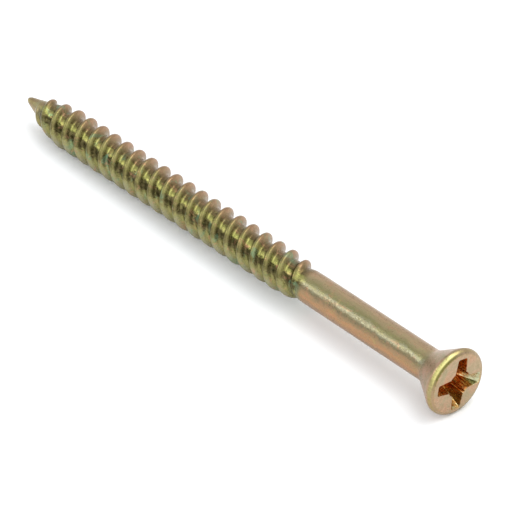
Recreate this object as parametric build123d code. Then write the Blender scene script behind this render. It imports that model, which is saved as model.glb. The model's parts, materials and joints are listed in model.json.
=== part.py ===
from build123d import *
from math import atan2, ceil, cos, degrees, floor, pi, radians, sin, sqrt, tan
import os

# One screw in one piece. It is modelled along +X, its point at the origin and
# its head at the far end, then laid down as it comes to rest: on the edge of
# its head and on one crest of its thread. All sizes are in millimetres.

# Overall
length = 60.0  # over everything, as a countersunk screw is sold

# Plain part and core
shank_d = 3.12  # plain part under the head
core_d = 2.9  # root of the thread
shank_start = 41.1  # where the plain part has its full width
shank_ramp = 1.2  # short cone from the core up to the plain part

# Point
point_d = 0.32  # across the blunt end, where the cone begins
point_half_angle = 16.7  # degrees, from the screw's line to the side of the cone

# Thread, right-handed, with two starts
starts = 2
crest_pitch = 1.807  # from one crest to the next along the screw
thread_d = 4.14  # over the crests just behind the point
thread_far_d = 4.08  # over the crests where the thread ends
flank = 29.0  # degrees each side of the ridge leans from square
root_sink = 0.2  # how far the ridge is carried on inside the core
thread_in = 2.2  # where a ridge comes out of the point
thread_in_fade = 1.1  # length over which it comes out
lead_crest_d = 1.94  # what the crests taper to at the very end, if carried on
lead_crest_half_angle = 10.6  # degrees, of that taper
thread_out = 40.3  # where a ridge has run out
thread_out_fade = 2.2  # length over which it runs out
thread_turn = 120.9  # degrees the ridges are turned about the screw
step_turn = 24.0  # degrees between the points that place the ridge's edges

# Head
head_d = 6.4  # widest circle
neck_back = 3.05  # where the underside would meet the plain part, behind the face
neck_ease = 0.3  # each side of there, the short cone that eases one into the other
rim_back = 0.42  # widest circle, behind the face
face_d = 5.3  # flat of the face
shoulder_d = 5.99  # where the rounded rim turns towards the face
shoulder_back = 0.13  # that circle, behind the face

# Cross recess with small ribs between its wings
wing_span = 5.0  # across two opposite wings at the face
wing_floor_span = 2.2  # across them at the bottom
wing_w = 1.02  # width of a wing at the face
wing_floor_w = 0.74
recess_depth = 2.5
hub_d = 2.5  # round middle at the face
hub_floor_d = 1.5
hub_point = 0.5  # shallow cone under the middle
rib_span = 3.25  # across two opposite ribs at the face
rib_floor_span = 1.75
rib_w = 0.5  # width of a rib's groove
recess_turn = -10.0  # degrees the wings are turned from upright

os.makedirs("parts", exist_ok=True)

shank_r, core_r = shank_d / 2, core_d / 2
head_r, face_r, point_r = head_d / 2, face_d / 2, point_d / 2
rim_x = length - rim_back
neck_x = length - neck_back
lead = crest_pitch * starts
point_slope = tan(radians(point_half_angle))
core_x = (core_r - point_r) / point_slope
ramp_x = shank_start - shank_ramp


def core_at(x):
    """Radius of the plain body at x, from the point to the plain part."""
    if x < core_x:
        return max(0.03, point_r + point_slope * x)
    if x < ramp_x:
        return core_r
    return min(shank_r, core_r + (shank_r - core_r) * (x - ramp_x) / shank_ramp)


def ease(t):
    """A smooth step from 0 to 1."""
    t = max(0.0, min(1.0, t))
    return t * t * (3 - 2 * t)


def crest_at(x):
    """Radius of the crest at x: it rises behind the point and runs out at the other end."""
    along = (x - thread_in) / (thread_out - thread_in)
    full = (thread_d + (thread_far_d - thread_d) * along) / 2
    rising = lead_crest_d / 2 + tan(radians(lead_crest_half_angle)) * x
    fade = min(ease((x - thread_in) / thread_in_fade), sqrt(max(0.0, thread_out - x) / thread_out_fade), 1.0)
    buried = core_at(x) - root_sink / 2
    return buried + (min(full, rising) - buried) * fade


def at(x, r, turn):
    """The place at x, at radius r and at angle turn about the screw's line."""
    return (x, r * cos(turn), r * sin(turn))


def ridge(phase):
    """One start of the thread: three helical edges, the ruled sides between them, two ends."""
    turns = (thread_out - thread_in) / lead
    pieces = int(ceil(turns))
    count = pieces * int(ceil(360 * turns / pieces / step_turn))
    lines = [[], [], []]
    for i in range(count + 1):
        x = thread_in + (thread_out - thread_in) * i / count
        turn = radians(phase) + 2 * pi * x / lead
        high = crest_at(x)
        foot = (high - core_at(x) + root_sink) * tan(radians(flank))
        places = (
            (-foot, core_at(x - foot) - root_sink),
            (0, high),
            (foot, core_at(x + foot) - root_sink),
        )
        for line, (dx, r) in zip(lines, places):
            line.append(at(x + dx, r, turn))
    share = [i / count for i in range(count + 1)]
    whole = [Edge.make_spline(line, parameters=share) for line in lines]
    bits = [[e.trim(i / pieces, (i + 1) / pieces) for i in range(pieces)] for e in whole]
    sides = [
        Face.make_surface_from_curves(bits[k][i], bits[(k + 1) % 3][i])
        for k in range(3)
        for i in range(pieces)
    ]
    ends = [Face(Wire.make_polygon([line[i] for line in lines], close=True)) for i in (0, -1)]
    return Solid(Shell(sides + ends))


# Plain body, turned: point, core, plain part and head
with BuildSketch(Plane.XY) as half:
    with BuildLine():
        Polyline(
            (0, 0),
            (0, point_r),
            (core_x, core_r),
            (ramp_x, core_r),
            (shank_start, shank_r),
            (neck_x - neck_ease, shank_r),
            (neck_x + neck_ease, shank_r + neck_ease * (head_r - shank_r) / (rim_x - neck_x)),
            (rim_x, head_r),
            (length - shoulder_back, shoulder_d / 2),
            (length, face_r),
            (length, 0),
            (0, 0),
        )
    make_face()
body = revolve(half.sketch, Axis.X, 360)

# Thread
for k in range(starts):
    body = body + ridge(thread_turn + 360 * k / starts)

# Recess: two crossed wings, a round middle with a cone under it, two crossed ribs
face_plane = Plane((length, 0, 0), x_dir=(0, 1, 0), z_dir=(1, 0, 0))


def tapered(span, width, floor_span, floor_width, depth, turn):
    """A bar across the recess, from the face down to depth, narrowing as it goes."""
    over = 0.2
    k = -over / depth
    top = Rectangle(span + (floor_span - span) * k, width + (floor_width - width) * k)
    low = Rectangle(floor_span, floor_width)
    bar = loft([Pos(0, 0, over) * top.face(), Pos(0, 0, -depth) * low.face()], ruled=True)
    return face_plane * (Rot(0, 0, turn) * bar)


hub_len = recess_depth + 0.2
hub_top_r = hub_floor_d / 2 + (hub_d - hub_floor_d) / 2 * hub_len / recess_depth
hub = Cone(hub_floor_d / 2, hub_top_r, hub_len)
hub = face_plane * (Pos(0, 0, hub_len / 2 - recess_depth) * hub)
under = Cone(0.0, hub_floor_d / 2, hub_point)
under = face_plane * (Pos(0, 0, -recess_depth - hub_point / 2) * under)
recess = hub + under
for turn in (0, 90):
    recess = recess + tapered(
        wing_span, wing_w, wing_floor_span, wing_floor_w, recess_depth, turn + recess_turn
    )
    recess = recess + tapered(
        rib_span, rib_w, rib_floor_span, rib_w * 0.8, recess_depth * 0.9, turn + recess_turn + 45
    )
body = body - recess

# Laid down: the lowest line runs from the edge of the head to one crest
tilt = pi / 2
for k in range(starts):
    first = (-pi / 2 - radians(thread_turn) - 2 * pi * k / starts) / (2 * pi) * lead
    for n in range(int(thread_out / lead) + 2):
        x = first + n * lead
        if thread_in < x < thread_out:
            tilt = min(tilt, atan2(head_r - crest_at(x), rim_x - x))
body = Rot(0, -degrees(tilt), 0) * body
box = body.bounding_box()
body = Pos(-(box.min.X + box.max.X) / 2, -(box.min.Y + box.max.Y) / 2, -box.min.Z) * body

screw = body.solids()[0]
export_step(screw, "parts/screw.step")
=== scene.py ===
import json
from math import asin, atan, atan2, ceil, cos, pi, radians, sin, sqrt, tan

import bmesh
import bpy
from mathutils import Matrix, Vector


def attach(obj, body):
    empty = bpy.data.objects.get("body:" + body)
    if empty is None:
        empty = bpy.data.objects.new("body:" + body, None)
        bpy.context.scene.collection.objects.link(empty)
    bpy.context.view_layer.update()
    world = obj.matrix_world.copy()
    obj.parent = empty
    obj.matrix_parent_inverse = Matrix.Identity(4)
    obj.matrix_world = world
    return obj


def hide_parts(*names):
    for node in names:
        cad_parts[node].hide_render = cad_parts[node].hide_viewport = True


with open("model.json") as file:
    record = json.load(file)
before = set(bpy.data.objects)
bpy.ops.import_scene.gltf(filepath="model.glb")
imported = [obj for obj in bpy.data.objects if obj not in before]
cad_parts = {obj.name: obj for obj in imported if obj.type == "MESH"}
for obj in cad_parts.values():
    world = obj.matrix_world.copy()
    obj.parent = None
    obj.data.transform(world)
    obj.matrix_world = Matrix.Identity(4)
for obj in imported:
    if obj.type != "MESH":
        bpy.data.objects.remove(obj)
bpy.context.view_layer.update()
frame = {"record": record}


# Rolled thread: two starts side by side, squeezed up out of the steel wire between
# flat dies. The crests are narrow and rounded, and the wide grooves ease into the
# flanks. One row of points is carried round it by a Screw modifier, a lead at a time.
MM = 0.001  # every size below is in mm, and every x is measured from the point
CREST_PITCH = 1.807  # from one crest to the next along the screw
STARTS = 2
LEAD = CREST_PITCH * STARTS
THREAD_TURN = 120.93  # degrees, of the first start about the screw
CORE_R, SHANK_R = 1.40, 1.56
SWELL_X, SWELL_LENGTH = 39.5, 1.3  # where the core swells to the shank
POINT_R, POINT_SLOPE = 0.26, 0.285
CREST_R, CREST_FAR_R = 2.07, 2.04  # behind the point, and where the thread ends
YOUNG_CREST_R, YOUNG_CREST_SLOPE = 0.96, 0.188  # the crests' taper behind the point
THREAD_IN, THREAD_IN_FADE = 1.9, 1.3
THREAD_OUT, THREAD_OUT_FADE = 40.3, 2.2
RIDGE_HALF_W = 0.58  # from the middle of a crest to the floor of the groove
CREST_HALF_W = 0.07
FLANK_EASING = 0.75  # 0 for a straight flank, 1 for one that is level at both ends
UNEVEN = 0.012  # how far a crest strays from its size, and always inwards
UNEVEN_FROM = 8.0  # it strays fully from here on
TALL_RIDGE = 0.5  # a ridge this tall has the full colours of one
CUT_AT = (1.0, 41.4)  # the turned thread is cut square here at each end
STEPS_PER_TURN = 72
POINTS_PER_SIDE = 12  # profile points from a crest to the middle of a groove
CROWDING = 1.5  # they crowd towards the crest
MERGED = 0.002


def deselect():
    bpy.ops.object.select_all(action="DESELECT")


def take(piece):
    """Makes one piece the only one selected, and the active one."""
    deselect()
    piece.select_set(True)
    bpy.context.view_layer.objects.active = piece


def ease(t):
    t = max(0.0, min(1.0, t))
    return t * t * (3 - 2 * t)


def core_at(x):
    """Radius of the steel under the thread."""
    cone = POINT_R + POINT_SLOPE * x
    swelling = CORE_R + (SHANK_R - CORE_R) * ease((x - SWELL_X) / SWELL_LENGTH)
    return min(cone, swelling)


def crest_at(x):
    """Radius over the crests: they rise from the point and run out at the shank."""
    full = CREST_R + (CREST_FAR_R - CREST_R) * x / THREAD_OUT
    young = YOUNG_CREST_R + YOUNG_CREST_SLOPE * x
    rise = ease((x - THREAD_IN) / THREAD_IN_FADE)
    fall = sqrt(max(0.0, min(1.0, (THREAD_OUT - x) / THREAD_OUT_FADE)))
    core = core_at(x)
    return core + max(0.0, min(full, young) - core) * min(rise, fall)


def ridge_share(dx):
    """How high the ridge stands dx from its crest, from 0 in the groove to 1."""
    a = (RIDGE_HALF_W - abs(dx)) / (RIDGE_HALF_W - CREST_HALF_W)
    a = max(0.0, min(1.0, a))
    return a - FLANK_EASING * sin(2 * pi * a) / (2 * pi)


deselect()
bpy.ops.mesh.primitive_grid_add(
    x_subdivisions=2 * POINTS_PER_SIDE * STARTS, y_subdivisions=1, size=1.0
)
screw = bpy.context.object
screw.name = "screw_body"
bpy.ops.object.mode_set(mode="EDIT")
mesh = bmesh.from_edit_mesh(screw.data)
bmesh.ops.delete(mesh, geom=[v for v in mesh.verts if v.co.y > 0], context="VERTS")
first_crest = LEAD * (90 - THREAD_TURN) / 360 - LEAD
for i, v in enumerate(sorted(mesh.verts, key=lambda v: v.co.x)):
    crest, step = divmod(i - POINTS_PER_SIDE, 2 * POINTS_PER_SIDE)
    if step > POINTS_PER_SIDE:
        crest, step = crest + 1, step - 2 * POINTS_PER_SIDE
    dx = CREST_PITCH / 2 * (abs(step) / POINTS_PER_SIDE) ** CROWDING
    dx = dx if step >= 0 else -dx
    r = CORE_R + (CREST_R - CORE_R) * ridge_share(dx)
    v.co = Vector((first_crest + crest * CREST_PITCH + dx, 0, r)) * MM
bmesh.update_edit_mesh(screw.data)
bpy.ops.object.mode_set(mode="OBJECT")

turned = screw.modifiers.new("turned", "SCREW")
turned.axis = "X"
turned.angle = 2 * pi
turned.screw_offset = LEAD * MM
turned.iterations = ceil((THREAD_OUT + 2 * LEAD) / LEAD) + 1
turned.steps = turned.render_steps = STEPS_PER_TURN
turned.use_smooth_shade = True
take(screw)
bpy.ops.object.modifier_apply(modifier="turned")
bpy.ops.object.mode_set(mode="EDIT")
bpy.ops.mesh.select_all(action="SELECT")
bpy.ops.mesh.remove_doubles(threshold=MERGED * MM)
for x, inner in zip(CUT_AT, (True, False)):
    bpy.ops.mesh.select_all(action="SELECT")
    bpy.ops.mesh.bisect(
        plane_co=(x * MM, 0, 0),
        plane_no=(1, 0, 0),
        clear_inner=inner,
        clear_outer=not inner,
        threshold=0.0001 * MM,
    )
bpy.ops.mesh.select_all(action="SELECT")
bpy.ops.mesh.remove_doubles(threshold=MERGED * MM)

# The crests fall away towards the point and at the shank, and the dies have left them
# a few hundredths of a millimetre uneven. The finish reads the two attributes to paint
# shade and highlight in the grooves and shade on the flanks.
mesh = bmesh.from_edit_mesh(screw.data)
height = mesh.verts.layers.float.new("ridge_height")  # from 0 in a groove to 1
facing = mesh.verts.layers.float.new("ridge_side")  # below 0 on the side to the point
for v in mesh.verts:
    x, y, z = v.co / MM
    r, turn = sqrt(y * y + z * z), atan2(z, y)
    share = max(0.0, (r - CORE_R) / (CREST_R - CORE_R))
    tall = crest_at(x) - core_at(x)
    stray = UNEVEN * (sin(1.9 * x + 2 * turn) * sin(0.63 * x - turn + 1.0) - 1)
    new = core_at(x) + share * (tall + stray * min(1.0, x / UNEVEN_FROM))
    v.co = Vector((x, y * new / r, z * new / r)) * MM
    stands = min(1.0, tall / TALL_RIDGE)
    from_crest = x - LEAD * (turn - radians(THREAD_TURN)) / (2 * pi)
    v[height] = share * stands
    v[facing] = sin(2 * pi * from_crest / CREST_PITCH) * stands
bmesh.update_edit_mesh(screw.data)
bpy.ops.object.mode_set(mode="OBJECT")


# Point, plain shank and head: the same steel, on from the two ends of the thread. The
# point is blunt and the shank is plain. The countersunk head, pressed at the end of
# the wire, eases out of the shank and has a rounded rim round a flat face.
POINT_FROM, SHANK_FROM = 0.9, 41.7  # where they begin, a little off the thread's ends
TIP_R = 0.004  # of the last tiny ring at the tip
NECK_X = 56.66  # where the cone of the head would meet the shank
NECK_BLEND = 1.6  # radius that eases one into the other
HEAD_R, RIM_X = 3.194, 59.36
RIM_ROUND = 0.5  # radius of the rounded rim
FLAT_INSET = 0.05  # the flat of the face begins this far in from the rim's rounding
FACE_X = 59.99
POINT_SIDES, SHANK_SIDES = 48, 96
POINT_STEPS, NECK_STEPS, RIM_STEPS = 6, 7, 9  # of the rings round each curve


def ring_at(name, x, r, sides):
    """A bare ring of edges about the screw's line."""
    deselect()
    bpy.ops.mesh.primitive_circle_add(
        vertices=sides, radius=r * MM, location=(x * MM, 0, 0), rotation=(0, pi / 2, 0)
    )
    ring = bpy.context.object
    ring.name = name
    bpy.ops.object.transform_apply(location=True, rotation=True, scale=True)
    bpy.ops.object.mode_set(mode="EDIT")
    bpy.ops.mesh.select_all(action="SELECT")
    return ring


def draw_out(rings, x, r):
    """Extrudes the selected ring, now at x with radius r, through a list of (x, r)."""
    for next_x, next_r in rings:
        bpy.ops.mesh.extrude_region_move(
            TRANSFORM_OT_translate={"value": ((next_x - x) * MM, 0, 0)}
        )
        bpy.ops.transform.resize(
            value=(1, next_r / r, next_r / r), center_override=(next_x * MM, 0, 0)
        )
        x, r = next_x, next_r
    bpy.ops.mesh.edge_face_add()
    bpy.ops.object.mode_set(mode="OBJECT")


point = ring_at("point", POINT_FROM, core_at(POINT_FROM), POINT_SIDES)
lean = atan(POINT_SLOPE)
blunt = POINT_R / cos(lean)
rings = [(x, core_at(x)) for x in (0.6, 0.35)]
for i in range(POINT_STEPS + 1):
    a = (pi / 2 - lean) * i / POINT_STEPS + lean
    rings.append((blunt * (1 - sin(a)), blunt * cos(a) + TIP_R))
draw_out(rings, POINT_FROM, core_at(POINT_FROM))

head = ring_at("head", SHANK_FROM, SHANK_R, SHANK_SIDES)
lean = atan((HEAD_R - SHANK_R) / (RIM_X - NECK_X))
rings = [(x, SHANK_R) for x in (43.0, 46.0, 49.0, 52.0, 54.5)]
blend_x = NECK_X - NECK_BLEND * tan(lean / 2)
for i in range(NECK_STEPS + 1):
    a = lean * i / NECK_STEPS
    rings.append((blend_x + NECK_BLEND * sin(a), SHANK_R + NECK_BLEND * (1 - cos(a))))
for x in (57.9, 58.5, 59.0):
    rings.append((x, SHANK_R + (x - NECK_X) * tan(lean)))
for i in range(RIM_STEPS + 1):
    a = (pi / 2 + lean) * i / RIM_STEPS - lean
    across = HEAD_R - RIM_ROUND + RIM_ROUND * cos(a)
    rings.append((FACE_X - RIM_ROUND + RIM_ROUND * sin(a), across))
rings.append((FACE_X, HEAD_R - RIM_ROUND - FLAT_INSET))
draw_out(rings, SHANK_FROM, SHANK_R)

take(screw)
point.select_set(True)
head.select_set(True)
bpy.ops.object.join()
bpy.ops.object.mode_set(mode="EDIT")
for low, high in ((POINT_FROM, CUT_AT[0]), (CUT_AT[1], SHANK_FROM)):
    bpy.ops.mesh.select_all(action="DESELECT")
    mesh = bmesh.from_edit_mesh(screw.data)
    for edge in mesh.edges:  # the open ring on each side of the gap
        if edge.is_boundary and all(low - 0.05 < v.co.x / MM < high + 0.05 for v in edge.verts):
            edge.select_set(True)
    mesh.select_flush_mode()
    bmesh.update_edit_mesh(screw.data)
    bpy.ops.mesh.bridge_edge_loops()
bpy.ops.mesh.select_all(action="SELECT")
bpy.ops.mesh.normals_make_consistent(inside=False)
bpy.ops.object.mode_set(mode="OBJECT")


# Cross recess: punched cold into the face, four wings that narrow and slope in towards
# the middle, with the groove of a small rib in each corner between them. The punch has
# struck a little off the middle, and has rolled the edges over.
WING_SPAN, WING_FLOOR_SPAN = 5.0, 2.2
WING_W, WING_FLOOR_W = 1.14, 0.74
WING_FLARE, WING_TAPER = 0.07, 0.04  # wider each side at the hub, narrower at the end
WING_CORNER = 0.16
HUB_D, HUB_FLOOR_D = 2.5, 1.5
RIB_SPAN, RIB_FLOOR_SPAN, RIB_W = 2.5, 1.75, 0.34
RIB_END = 0.7  # share of its width that a rib's groove has at its end
RECESS_DEPTH = 2.5
FLOOR_INSET, FLOOR_CONE = 0.25, 0.3  # the cone under the floor
RECESS_TURN = -10.0  # degrees, of the wings from upright
OFF_MIDDLE = (0.17, -0.13)  # in y and z
PUNCH_TOP = 0.3  # the punch begins this far proud of the face
PUNCH_LEVELS = 8


def between(at_face, at_floor, t):
    return at_face + (at_floor - at_face) * t


def cross_outline(t):
    """The recess's outline, t from 0 at the face to 1 at the floor, as (y, z)."""
    end = between(WING_SPAN, WING_FLOOR_SPAN, t) / 2
    hub = between(HUB_D, HUB_FLOOR_D, t) / 2
    hub_half = between(WING_W, WING_FLOOR_W, t) / 2 + WING_FLARE
    end_half = hub_half - WING_FLARE - WING_TAPER
    cut = WING_CORNER * 0.3
    upper = [
        (end, end_half - WING_CORNER),
        (end - cut, end_half - cut),
        (end - WING_CORNER, end_half),
        (sqrt(hub * hub - hub_half * hub_half), hub_half),
    ]
    rib_end, rib_half = between(RIB_SPAN, RIB_FLOOR_SPAN, t) / 2, RIB_W / 2
    rib = [
        (rib_end, rib_half * RIB_END),
        (sqrt(hub * hub - rib_half * rib_half), rib_half),
    ]
    points = []
    for k in range(4):
        for turn, shape in ((90 * k, upper), (90 * k + 45, rib)):
            a = radians(turn + RECESS_TURN)
            for u, w in shape + [(u, -w) for u, w in shape]:
                points.append((u * cos(a) - w * sin(a), u * sin(a) + w * cos(a)))
    return sorted(points, key=lambda p: atan2(p[1], p[0]))


deselect()
bpy.ops.mesh.primitive_circle_add(
    vertices=len(cross_outline(0)),
    radius=MM,
    fill_type="NGON",
    location=((FACE_X + PUNCH_TOP) * MM, 0, 0),
    rotation=(0, pi / 2, 0),
)
punch = bpy.context.object
punch.name = "recess_punch"
bpy.ops.object.transform_apply(location=True, rotation=True, scale=True)
bpy.ops.object.mode_set(mode="EDIT")


def lay_outline(x, outline, grow):
    """Puts the selected ring of the punch on an outline at x, grown by a few hundredths."""
    work = bmesh.from_edit_mesh(punch.data)
    picked = sorted((v for v in work.verts if v.select), key=lambda v: v.index)
    middle = sum((v.co for v in picked), Vector()) / len(picked)
    picked.sort(key=lambda v: atan2(v.co.z - middle.z, v.co.y - middle.y))
    for v, (y, z) in zip(picked, outline):
        out = Vector((y, z)).normalized() * grow
        v.co = Vector((x, y + out.x + OFF_MIDDLE[0], z + out.y + OFF_MIDDLE[1])) * MM
    bmesh.update_edit_mesh(punch.data)


# Each level is a place from the face, a share of the way to the floor, and a growth.
levels = [(PUNCH_TOP, 0.0, 0.10), (0.02, 0.0, 0.06), (-0.03, 0.0, 0.015), (-0.10, 0.04, 0.0)]
for k in range(1, PUNCH_LEVELS + 1):
    levels.append((-RECESS_DEPTH * k / PUNCH_LEVELS, k / PUNCH_LEVELS, 0.0))
bpy.ops.mesh.select_all(action="SELECT")
for n, (deep, t, grow) in enumerate(levels):
    if n:
        bpy.ops.mesh.extrude_region_move(
            TRANSFORM_OT_translate={"value": (-0.0001 * MM, 0, 0)}
        )
    lay_outline(FACE_X + deep, cross_outline(t), grow)
bpy.ops.mesh.inset(thickness=FLOOR_INSET * MM, depth=0.0)
bpy.ops.transform.translate(value=(-FLOOR_CONE * MM, 0, 0))
bpy.ops.mesh.select_all(action="SELECT")
bpy.ops.mesh.normals_make_consistent(inside=False)
bpy.ops.object.mode_set(mode="OBJECT")

cut = screw.modifiers.new("recess", "BOOLEAN")
cut.operation = "DIFFERENCE"
cut.solver = "EXACT"
cut.object = punch
take(screw)
bpy.ops.object.modifier_apply(modifier="recess")
bpy.data.objects.remove(punch)
bpy.ops.object.shade_smooth_by_angle(angle=radians(32))
even = screw.modifiers.new("even_normals", "WEIGHTED_NORMAL")
even.keep_sharp = True
bpy.ops.object.modifier_apply(modifier="even_normals")

# Another attribute for the finish: 1 on the walls and the floor, below the rolled edge.
ROLLED_EDGE = 0.1
RECESS_END = 3.2  # no part of the recess is deeper
RECESS_REACH, REACH_LOST = 2.86, 0.6  # a radius round all of it, and what that loses per mm
in_recess = screw.data.attributes.new("in_recess", "FLOAT", "POINT")
for v, share in zip(screw.data.vertices, in_recess.data):
    x, y, z = v.co / MM
    deep = FACE_X - x
    if deep < RECESS_END and sqrt(y * y + z * z) < RECESS_REACH - REACH_LOST * deep:
        share.value = min(1.0, deep / ROLLED_EDGE)


# The screw as a whole: the last few millimetres of its point are bent up a little. It
# is laid down as it comes to rest, on the edge of its head and on one crest, with the
# middle of its face and its line where the solid has them.
BENT_LENGTH, BENT_BY = 7.0, 0.33
for v in screw.data.vertices:
    bent = max(0.0, 1 - v.co.x / MM / BENT_LENGTH)
    v.co.z += BENT_BY * MM * bent * bent
seat = next(m for m in frame["record"]["mounts"] if m["name"] == "drive_recess")
line, face_middle = Vector(seat["axis"]), Vector(seat["pos_m"])
rise = asin(line.z)
screw.rotation_euler = (0, -rise, 0)
screw.location = face_middle - line * FACE_X * MM
take(screw)
bpy.ops.object.transform_apply(location=True, rotation=True, scale=True)
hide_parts("screw")
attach(screw, "root")


# Finish: yellow-passivated zinc, bright plating dipped in a chromate bath. The film
# shifts between tan, olive, lime, pink and teal with its thickness and turns copper in
# the recess, over faint lines of the drawn wire. Painted on it are shade in the grooves,
# on the flanks and in bands round the screw, and highlights and reflections.
def linear(code):
    """A linear colour from an sRGB hex value."""
    shades = [int(code[i : i + 2], 16) / 255 for i in (1, 3, 5)]
    return [c / 12.92 if c <= 0.04045 else ((c + 0.055) / 1.055) ** 2.4 for c in shades] + [1.0]


def node(tree, kind, inputs=(), stops=(), **settings):
    """Adds a node. Inputs are (name, socket to link or value), a ramp's stops (place, hex)."""
    made = tree.nodes.new(kind)
    for name, value in settings.items():
        setattr(made, name, value)
    for name, given in inputs:
        if isinstance(given, bpy.types.NodeSocket):
            tree.links.new(given, made.inputs[name])
        else:
            made.inputs[name].default_value = given
    if stops:
        elements = made.color_ramp.elements
        for _ in stops[2:]:
            elements.new(0.5)
        for element, (at, code) in zip(elements, stops):
            element.position = at
        for element, (at, code) in zip(elements, stops):
            element.color = linear(code)
    return made


plating = bpy.data.materials.new("yellow_passivated_zinc")
plating.use_nodes = True
tree = plating.node_tree
shader = tree.nodes["Principled BSDF"]
shader.inputs["Metallic"].default_value = 1.0
screw.data.materials.clear()
screw.data.materials.append(plating)

# The screw's own millimetres: x along it from the point, y and z across it.
own = node(tree, "ShaderNodeMapping", (
    ("Vector", node(tree, "ShaderNodeTexCoord").outputs["Object"]),
    ("Rotation", (0, rise, 0)),
    ("Scale", (1 / MM, 1 / MM, 1 / MM)),
    ("Location", Vector((FACE_X, 0, 0)) - Matrix.Rotation(rise, 3, "Y") @ (face_middle / MM)),
))
parts = node(tree, "ShaderNodeSeparateXYZ", (("Vector", own.outputs["Vector"]),))
along, across_y, across_z = (parts.outputs[axis] for axis in "XYZ")
ridge_height, ridge_side, recess_share = (
    node(tree, "ShaderNodeAttribute", attribute_name=name).outputs["Fac"]
    for name in ("ridge_height", "ridge_side", "in_recess")
)

# Noise, by its cells per millimetre across the screw and their share of that along it.
# The lines of the wire and of the punch are coarser here than real ones, so they show.
noises = {}
for name, per_mm, stretch, detail, rough, twist in (
    ("patches", 0.75, 0.8, 3.0, 0.55, 0.6),
    ("grain", 5.5, 0.7, 5.0, 0.65, 0.0),
    ("wire lines", 3.2, 0.10, 4.0, 0.55, 0.0),
    ("punch lines", 5.5, 0.03, 2.0, 0.55, 0.0),
    ("specks", 7.0, 0.8, 2.0, 0.55, 0.0),
    ("teal", 0.55, 1.4, 3.0, 0.55, 1.0),
    ("lime", 2.4, 0.6, 5.0, 0.7, 0.8),
    ("pink", 1.5, 0.5, 5.0, 0.65, 0.5),
):
    spread = node(tree, "ShaderNodeMapping", (
        ("Vector", own.outputs["Vector"]), ("Scale", (stretch, 1, 1)),
    ))
    cells = node(tree, "ShaderNodeTexNoise", (
        ("Vector", spread.outputs["Vector"]),
        ("Scale", per_mm), ("Detail", detail), ("Roughness", rough), ("Distortion", twist),
    ))
    noises[name] = cells.outputs["Fac"]

# Where a place is round the screw, from -1 on one side to 1 on the other, with drifts.
FILM_AND_SHADE_WAY = (0, -0.747, -0.665)  # the way that the second side faces; the film's hue and the painted bands of reflection, highlight and shade change along it
flat = node(tree, "ShaderNodeCombineXYZ", (("Y", across_y), ("Z", across_z)))
unit = node(tree, "ShaderNodeVectorMath", ((0, flat.outputs[0]),), operation="NORMALIZE")
turned_by = node(
    tree, "ShaderNodeVectorMath", ((0, unit.outputs[0]), (1, FILM_AND_SHADE_WAY)),
    operation="DOT_PRODUCT",
).outputs["Value"]
for name, most in (("patches", 0.10), ("grain", 0.09)):
    drift = node(tree, "ShaderNodeMapRange", (
        ("Value", noises[name]),
        ("From Min", 0.3), ("From Max", 0.7), ("To Min", -most), ("To Max", most),
    ), interpolation_type="SMOOTHSTEP")
    turned_by = node(
        tree, "ShaderNodeMath", ((0, turned_by), (1, drift.outputs[0])), operation="ADD"
    ).outputs[0]
round_share = node(
    tree, "ShaderNodeMapRange", (("Value", turned_by), ("From Min", -1.0))
).outputs[0]

# Where each layer of the film and of the painted shade and highlights lies: it grows from
# one value of its source to another, up to a most, and only within another layer where one is
# named.
below_top = node(tree, "ShaderNodeMapRange", (
    ("Value", turned_by),
    ("From Min", -0.9), ("From Max", -0.4), ("To Min", 0.5), ("To Max", 1.0),
), interpolation_type="SMOOTHSTEP")
shares = {"recess": recess_share, "below top": below_top.outputs[0]}
for name, source, none_at, most_at, most, within in (
    ("thread", along, 41.3, 40.2, 1.0, None),
    # Painted shade and highlight in the grooves.
    ("groove shade and highlight", ridge_height, 0.9, 0.2, 0.85, "thread"),
    # Painted shade on the flanks that face the point.
    ("flank shade", ridge_side, -0.1, -0.8, 0.7, "below top"),
    ("teal", noises["teal"], 0.56, 0.70, 0.55, "thread"),
    ("lime", noises["lime"], 0.54, 0.70, 0.5, None),
    ("pink", noises["pink"], 0.54, 0.70, 0.55, None),
    ("point", along, 3.4, 2.2, 0.7, None),
    ("head", along, 56.6, 57.6, 1.0, None),
    # The rim's film with its painted highlight, and beads in it.
    ("rim", along, 59.42, 59.62, 1.0, None),
    ("beads", noises["grain"], 0.50, 0.62, 0.55, "rim"),
    # A painted line of shade inside the rim.
    ("rim shade line", along, 59.80, 59.88, 1.0, None),
    ("face", along, 59.955, 59.99, 1.0, None),
    # A painted reflection on one wing's end.
    ("far wing reflection", across_y, 1.7, 2.1, 0.75, "recess"),
    # Painted shade in the lower wing.
    ("low wing shade", across_z, -1.3, -1.8, 0.6, "recess"),
    ("specks", noises["specks"], 0.64, 0.72, 0.45, None),
    ("wire lines", noises["wire lines"], 0.35, 0.7, 0.35, None),
):
    grown = node(tree, "ShaderNodeMapRange", (
        ("Value", source),
        ("From Min", none_at), ("From Max", most_at), ("To Max", most),
    ), interpolation_type="SMOOTHSTEP")
    shares[name] = grown.outputs[0]
    if within:
        shares[name] = node(
            tree, "ShaderNodeMath", ((0, shares[name]), (1, shares[within])),
            operation="MULTIPLY",
        ).outputs[0]
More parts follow.
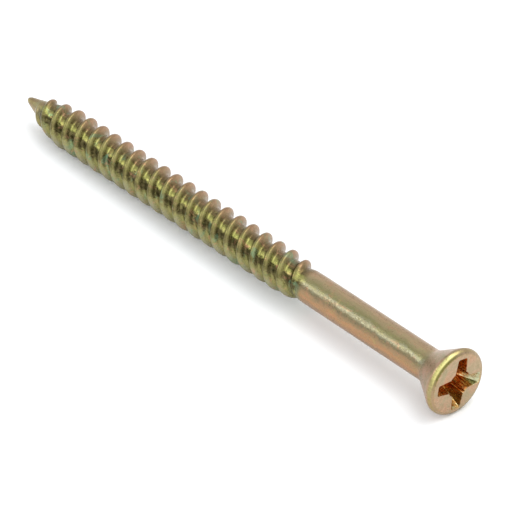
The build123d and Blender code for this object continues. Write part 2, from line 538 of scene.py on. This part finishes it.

# The layers' colours, from the lowest to the top: one colour, or a ramp on a source.
# The lowest layer is the film's hue round the screw together with painted light: a pale painted
# highlight band, darker painted shade bands beside it and brighter painted reflection at both
# edges.
colour = node(tree, "ShaderNodeValToRGB", (("Fac", round_share),), (
    (0.0, "#9f7f60"), (0.14, "#b49877"), (0.27, "#a2926f"), (0.40, "#89855c"),
    (0.52, "#98947a"), (0.62, "#7d745a"), (0.74, "#9c8062"), (0.88, "#b0845f"),
    (1.0, "#a58468"),
)).outputs["Color"]
for name, source, code in (
    # The thread's ramp round the screw mixes the film's hue with a band of painted shade below
    # the middle.
    ("thread", round_share, (
        (0.0, "#a07c60"), (0.16, "#9a7c5c"), (0.30, "#80754a"), (0.44, "#8f8b54"),
        (0.58, "#756f42"), (0.72, "#625c38"), (0.84, "#8d8a5a"), (1.0, "#98947a"),
    )),
    # Painted shade in the grooves, near black on one side of the screw, with a band of painted
    # lime highlight where the lamp's line falls.
    ("groove shade and highlight", round_share, (
        (0.0, "#80694a"), (0.3, "#554b2a"), (0.38, "#9c9b56"), (0.50, "#a3a35c"),
        (0.58, "#2e2a12"), (0.78, "#28230f"), (0.90, "#84814a"),
    )),
    # Painted shade, near black, on the flanks that face the point, fuller below the top of the
    # screw.
    ("flank shade", None, "#332c12"),
    ("teal", None, "#6f9474"),
    ("lime", None, "#a9a366"),
    ("pink", None, "#bb866a"),
    ("point", noises["patches"], ((0.35, "#96805a"), (0.5, "#a58c66"), (0.65, "#a89a74"))),
    ("head", noises["patches"], (
        (0.3, "#8d8259"), (0.45, "#a58a6e"), (0.6, "#b28f77"), (0.75, "#a98b62"),
    )),
    # On the rim, the lime band in the middle of the ramp is a painted highlight, with beige
    # film on either side.
    ("rim", round_share, (
        (0.0, "#a88d6c"), (0.16, "#b5a472"), (0.28, "#d6d08c"), (0.60, "#cdc57c"),
        (0.78, "#a39468"), (1.0, "#a88f66"),
    )),
    # Darker beads that break up the rim's painted highlight.
    ("beads", None, "#8f8548"),
    # A painted dark line of shade inside the rim, on one side of the screw.
    ("rim shade line", round_share, (
        (0.12, "#a58c70"), (0.3, "#77703c"), (0.6, "#6f6839"), (0.8, "#a58a6c"),
    )),
    ("face", noises["patches"], (
        (0.30, "#a09474"), (0.46, "#b09a7c"), (0.58, "#b8967a"), (0.72, "#bd906e"),
    )),
    # The recess's copper film with the punch's striations; its palest stops are painted glints
    # along them.
    ("recess", noises["punch lines"], (
        (0.36, "#7c4a22"), (0.44, "#d08444"), (0.51, "#eaa664"), (0.57, "#d0b67c"),
        (0.64, "#f2e6c0"),
    )),
    # A painted pale green reflection on the sloped end of one wing.
    ("far wing reflection", None, "#a9b898"),
    # Painted shade, darker olive, in the lower wing of the recess.
    ("low wing shade", None, "#6f6636"),
    ("specks", None, "#4a3c22"),
    ("wire lines", None, "#8a7c58"),
):
    if source:
        over = node(tree, "ShaderNodeValToRGB", (("Fac", source),), code).outputs["Color"]
    else:
        over = linear(code)
    laid = node(
        tree, "ShaderNodeMix", (("Factor", shares[name]), ("A", colour), ("B", over)),
        data_type="RGBA",
    )
    colour = laid.outputs["Result"]
tree.links.new(colour, shader.inputs["Base Color"])

# Satin, a little patchy, smoother in the recess, and finely uneven to the touch.
satin = node(tree, "ShaderNodeMapRange", (
    ("Value", noises["grain"]),
    ("From Min", 0.3), ("From Max", 0.7), ("To Min", 0.24), ("To Max", 0.40),
), interpolation_type="SMOOTHSTEP")
polish = node(tree, "ShaderNodeMath", ((0, recess_share), (1, -0.12)), operation="MULTIPLY")
satin = node(
    tree, "ShaderNodeMath", ((0, satin.outputs[0]), (1, polish.outputs[0])), operation="ADD"
)
tree.links.new(satin.outputs[0], shader.inputs["Roughness"])
bumps = node(
    tree, "ShaderNodeMath", ((0, noises["grain"]), (1, noises["wire lines"])), operation="ADD"
)
dented = node(tree, "ShaderNodeBump", (
    ("Height", bumps.outputs[0]), ("Strength", 0.5), ("Distance", 0.03 * MM),
))
tree.links.new(dented.outputs["Normal"], shader.inputs["Normal"])


# Studio: a plain matt white floor and a pale surround, with a large soft lamp overhead,
# a wide one at the right, and a small weak one at the left that draws the line of light
# along the shank.
deselect()
bpy.ops.mesh.primitive_plane_add(size=2.0)
floor_sheet = bpy.context.object
floor_sheet.name = "floor"
white = bpy.data.materials.new("white_floor")
white.use_nodes = True
matt = white.node_tree.nodes["Principled BSDF"]
matt.inputs["Base Color"].default_value = linear("#fbfbfb")
matt.inputs["Roughness"].default_value = 0.9
matt.inputs["Specular IOR Level"].default_value = 0.0
floor_sheet.data.materials.append(white)

world = bpy.data.worlds.new("studio")
bpy.context.scene.world = world
world.use_nodes = True
sky = world.node_tree
background = sky.nodes["Background"]
background.inputs["Color"].default_value = (0.95, 0.975, 1, 1)  # faintly cool
ray = node(sky, "ShaderNodeLightPath")
seen = ray.outputs["Is Camera Ray"]
for kind in ("Is Glossy Ray", "Is Transmission Ray"):
    seen = node(
        sky, "ShaderNodeMath", ((0, seen), (1, ray.outputs[kind])), operation="MAXIMUM"
    ).outputs[0]
level = node(sky, "ShaderNodeMapRange", (("Value", seen), ("To Min", 0.95), ("To Max", 1.0)))
sky.links.new(level.outputs["Result"], background.inputs["Strength"])

for name, stands_at, size, power in (  # metres and watts
    ("overhead", (0.10, 0.25, 0.60), 0.5, 1.6),
    ("left", (-0.37, -0.343, 0.334), 0.2, 0.31),
    ("right", (0.40, -0.28, 0.36), 1.0, 1.8),
):
    bpy.ops.object.light_add(type="AREA", location=stands_at)
    lamp = bpy.context.object
    lamp.name = name
    lamp.data.size = size
    lamp.data.energy = power
    lamp.rotation_euler = (-Vector(stands_at)).to_track_quat("-Z", "Y").to_euler()


# Camera: a long lens, above and to one side of the head. Its place was solved from the
# screw's outline.
CAMERA_DISTANCE = 356.42
CAMERA_HEADING, CAMERA_DROP = 139.216, 36.268  # degrees
LOOKED_AT = Vector((0, 0, 2.6))
AIM_RIGHT, AIM_DOWN = 2.155, 1.894  # the picture's middle from there
FOCAL_LENGTH, PICTURE_W = 3915.2, 512  # pixels
SENSOR_W = 36.0
heading, drop = radians(CAMERA_HEADING), radians(CAMERA_DROP)
forward = Vector((cos(drop) * cos(heading), cos(drop) * sin(heading), -sin(drop)))
right = Vector((sin(heading), -cos(heading), 0))
up = right.cross(forward)
stand = LOOKED_AT + right * AIM_RIGHT - up * AIM_DOWN - forward * CAMERA_DISTANCE
bpy.ops.object.camera_add(
    location=stand * MM, rotation=(pi / 2 - drop, 0, heading - pi / 2)
)
camera = bpy.context.object
camera.data.sensor_width = SENSOR_W
camera.data.lens = SENSOR_W * FOCAL_LENGTH / PICTURE_W
camera.data.clip_start = 0.01
bpy.context.scene.camera = camera
bpy.context.scene.view_settings.view_transform = "Standard"
